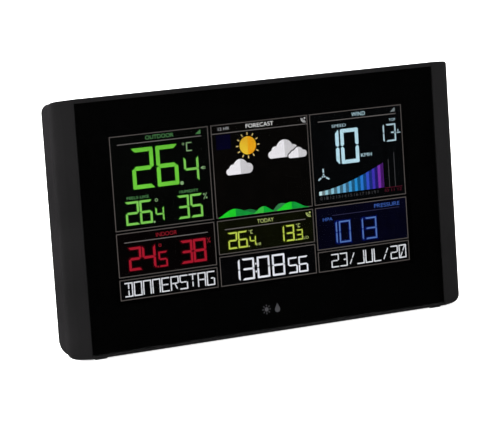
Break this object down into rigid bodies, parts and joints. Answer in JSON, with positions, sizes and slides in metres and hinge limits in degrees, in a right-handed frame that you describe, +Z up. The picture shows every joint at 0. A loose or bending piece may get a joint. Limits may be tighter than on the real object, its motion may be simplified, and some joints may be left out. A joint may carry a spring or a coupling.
{
  "type": "home weather station",
  "caption": "Wide desk display for home weather readings: glossy black window in a thin dark case that leans back on a fold-out stand, with keys on the back and top.",
  "frame": {"origin": "middle of the footprint at table level, standing open on its stand", "axes": "+X to the viewer's right along the display, +Y towards the back, +Z up; the window faces -Y and leans back"},
  "size_m": [0.224, 0.0514, 0.1274],
  "materials": {
    "front_housing": "fine textured ABS",
    "rear_cover": "fine textured ABS",
    "window_panel": "glossy acrylic",
    "window_print": "black print on the window's back",
    "window_tape": "foam adhesive",
    "front_polariser": "polarising film",
    "lcd_front_glass": "clear glass",
    "lcd_rear_glass": "clear glass",
    "rear_polariser": "polarising film",
    "diffuser_sheet": "milky sheet",
    "light_guide": "clear acrylic",
    "reflector_sheet": "white film",
    "backlight_strip": "white circuit strip with diodes",
    "lcd_tray": "white ABS",
    "lcd_flex": "amber film cable",
    "backlight_flex": "amber film cable",
    "main_board": "green circuit board",
    "processor": "moulded package",
    "display_driver": "moulded package",
    "pressure_sensor": "metal can with a port",
    "humidity_sensor": "vented sensor on a small board",
    "sensor_lead": "grey ribbon",
    "clock_crystal": "drawn can",
    "capacitors": "sleeved electrolytic",
    "buzzer": "piezo sounder",
    "radio_module": "screening can on a small board",
    "antenna_wire": "enamelled copper",
    "tact_switches": "switch bodies",
    "snooze_switch": "switch body",
    "snooze_plunger": "moulded",
    "snooze_key": "satin ABS",
    "reset_key": "moulded",
    "reset_plunger": "moulded",
    "dimmer_switch": "folded steel shell",
    "dimmer_knob": "ribbed",
    "power_socket": "moulded",
    "socket_pin": "nickel plated",
    "coin_cell": "stainless can",
    "cell_contact_negative": "nickel-plated spring steel",
    "cell_contact_positive": "nickel-plated spring steel",
    "battery_door": "fine textured ABS",
    "case_screws": "blackened cross-head",
    "tray_screws": "zinc plated cross-head",
    "board_screws": "zinc plated cross-head",
    "front_feet": "soft rubber",
    "stand": "fine textured ABS",
    "stand_axle": "drawn rod",
    "stand_pad": "soft rubber",
    "key_mode": "satin grey ABS",
    "key_mode_plunger": "moulded",
    "key_set": "satin grey ABS",
    "key_set_plunger": "moulded",
    "key_up": "satin grey ABS",
    "key_up_plunger": "moulded",
    "key_down": "satin grey ABS",
    "key_down_plunger": "moulded",
    "key_alarm": "satin grey ABS",
    "key_alarm_plunger": "moulded",
    "key_sensor": "satin grey ABS",
    "key_sensor_plunger": "moulded"
  },
  "bodies": {
    "case": {"front_housing": "front_housing", "rear_cover": "rear_cover", "window_panel": "window_panel", "window_print": "window_print", "window_tape": "window_tape", "front_polariser": "front_polariser", "lcd_front_glass": "lcd_front_glass", "lcd_rear_glass": "lcd_rear_glass", "rear_polariser": "rear_polariser", "diffuser_sheet": "diffuser_sheet", "light_guide": "light_guide", "reflector_sheet": "reflector_sheet", "backlight_strip": "backlight_strip", "lcd_tray": "lcd_tray", "lcd_flex": "lcd_flex", "backlight_flex": "backlight_flex", "main_board": "main_board", "processor": "processor", "display_driver": "display_driver", "pressure_sensor": "pressure_sensor", "humidity_sensor": "humidity_sensor", "sensor_lead": "sensor_lead", "clock_crystal": "clock_crystal", "capacitors": "capacitors", "buzzer": "buzzer", "radio_module": "radio_module", "antenna_wire": "antenna_wire", "tact_switches": "tact_switches", "snooze_switch": "snooze_switch", "dimmer_switch": "dimmer_switch", "power_socket": "power_socket", "socket_pin": "socket_pin", "coin_cell": "coin_cell", "cell_contact_negative": "cell_contact_negative", "cell_contact_positive": "cell_contact_positive", "case_screws": "case_screws", "tray_screws": "tray_screws", "board_screws": "board_screws", "front_feet": "front_feet"},
    "stand": {"stand": "stand", "stand_axle": "stand_axle", "stand_pad": "stand_pad"},
    "battery_door": {"battery_door": "battery_door"},
    "snooze_key": {"snooze_key": "snooze_key", "snooze_plunger": "snooze_plunger"},
    "reset_key": {"reset_key": "reset_key", "reset_plunger": "reset_plunger"},
    "dimmer_knob": {"dimmer_knob": "dimmer_knob"},
    "key_mode": {"key_mode": "key_mode", "key_mode_plunger": "key_mode_plunger"},
    "key_set": {"key_set": "key_set", "key_set_plunger": "key_set_plunger"},
    "key_up": {"key_up": "key_up", "key_up_plunger": "key_up_plunger"},
    "key_down": {"key_down": "key_down", "key_down_plunger": "key_down_plunger"},
    "key_alarm": {"key_alarm": "key_alarm", "key_alarm_plunger": "key_alarm_plunger"},
    "key_sensor": {"key_sensor": "key_sensor", "key_sensor_plunger": "key_sensor_plunger"}
  },
  "joints": [
    {"name": "stand_hinge", "type": "hinge", "parent": "case", "child": "stand", "pos_m": [0, 0.00463, 0.05806], "axis": [-1, 0, 0], "range_deg": [0, 27]},
    {"name": "battery_door_turn", "type": "hinge", "parent": "case", "child": "battery_door", "pos_m": [-0.056, 0.00202, 0.03721], "axis": [0, 0.989, -0.1478], "range_deg": [0, 40]},
    {"name": "snooze_press", "type": "slide", "parent": "case", "child": "snooze_key", "axis": [0, -0.1478, -0.989], "range_m": [0, 0.0005], "stiffness_N_per_m": 2500},
    {"name": "reset_press", "type": "slide", "parent": "case", "child": "reset_key", "axis": [0, -0.989, 0.1478], "range_m": [0, 0.0005], "stiffness_N_per_m": 2000},
    {"name": "dimmer_slide", "type": "slide", "parent": "case", "child": "dimmer_knob", "axis": [1, 0, 0], "range_m": [0, 0.003]},
    {"name": "key_mode_press", "type": "slide", "parent": "case", "child": "key_mode", "axis": [0, -0.989, 0.1478], "range_m": [0, 0.0005], "stiffness_N_per_m": 2000},
    {"name": "key_set_press", "type": "slide", "parent": "case", "child": "key_set", "axis": [0, -0.989, 0.1478], "range_m": [0, 0.0005], "stiffness_N_per_m": 2000},
    {"name": "key_up_press", "type": "slide", "parent": "case", "child": "key_up", "axis": [0, -0.989, 0.1478], "range_m": [0, 0.0005], "stiffness_N_per_m": 2000},
    {"name": "key_down_press", "type": "slide", "parent": "case", "child": "key_down", "axis": [0, -0.989, 0.1478], "range_m": [0, 0.0005], "stiffness_N_per_m": 2000},
    {"name": "key_alarm_press", "type": "slide", "parent": "case", "child": "key_alarm", "axis": [0, -0.989, 0.1478], "range_m": [0, 0.0005], "stiffness_N_per_m": 2000},
    {"name": "key_sensor_press", "type": "slide", "parent": "case", "child": "key_sensor", "axis": [0, -0.989, 0.1478], "range_m": [0, 0.0005], "stiffness_N_per_m": 2000}
  ]
}
